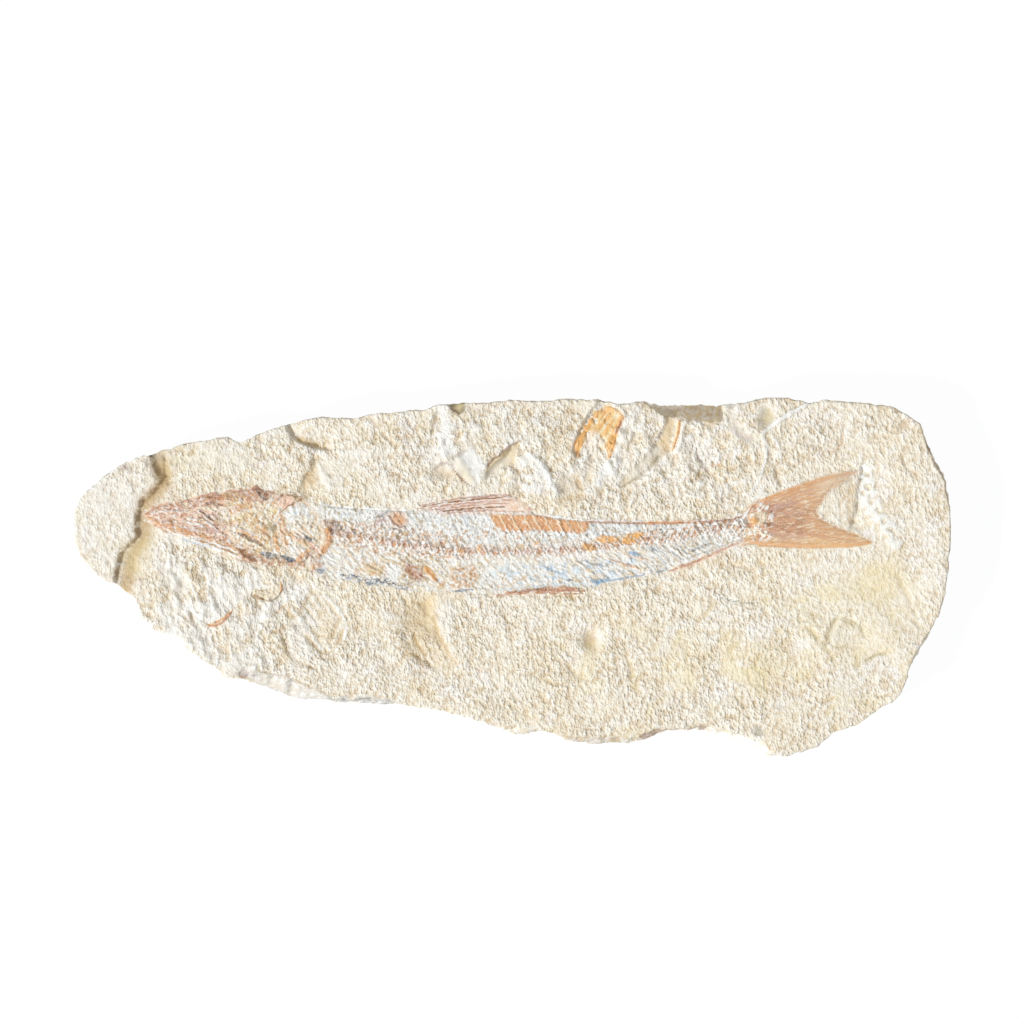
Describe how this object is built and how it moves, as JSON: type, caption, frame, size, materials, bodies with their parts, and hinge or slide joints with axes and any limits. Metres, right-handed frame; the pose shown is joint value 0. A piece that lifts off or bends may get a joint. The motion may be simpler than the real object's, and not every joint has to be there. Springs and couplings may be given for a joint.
{
  "type": "fossil fish slab",
  "caption": "Slender fossil fish, flattened side-on, on a thin rough plaque of cream limestone that is broken all round; rests on its flat back.",
  "frame": {"origin": "bottom centre of the slab's bounding box, on the flat back", "axes": "+X along the fish from its snout to its tail, +Y towards its back, +Z out of the fossil face"},
  "size_m": [0.211, 0.0863, 0.0146],
  "materials": {
    "limestone": "rough",
    "red_bone": "matte",
    "orange_bone": "satin",
    "white_bone": "matte",
    "horn_shell": "satin"
  },
  "bodies": {
    "root": {"limestone_slab": "limestone", "skull": "red_bone", "lower_jaw": "orange_bone", "trunk": "white_bone", "dorsal_fin": "red_bone", "pelvic_fin": "red_bone", "anal_fin": "red_bone", "tail_fin": "orange_bone", "fin_scrap": "orange_bone", "bone_splinter": "orange_bone", "bone_sliver": "orange_bone", "shell": "horn_shell"}
  },
  "joints": []
}
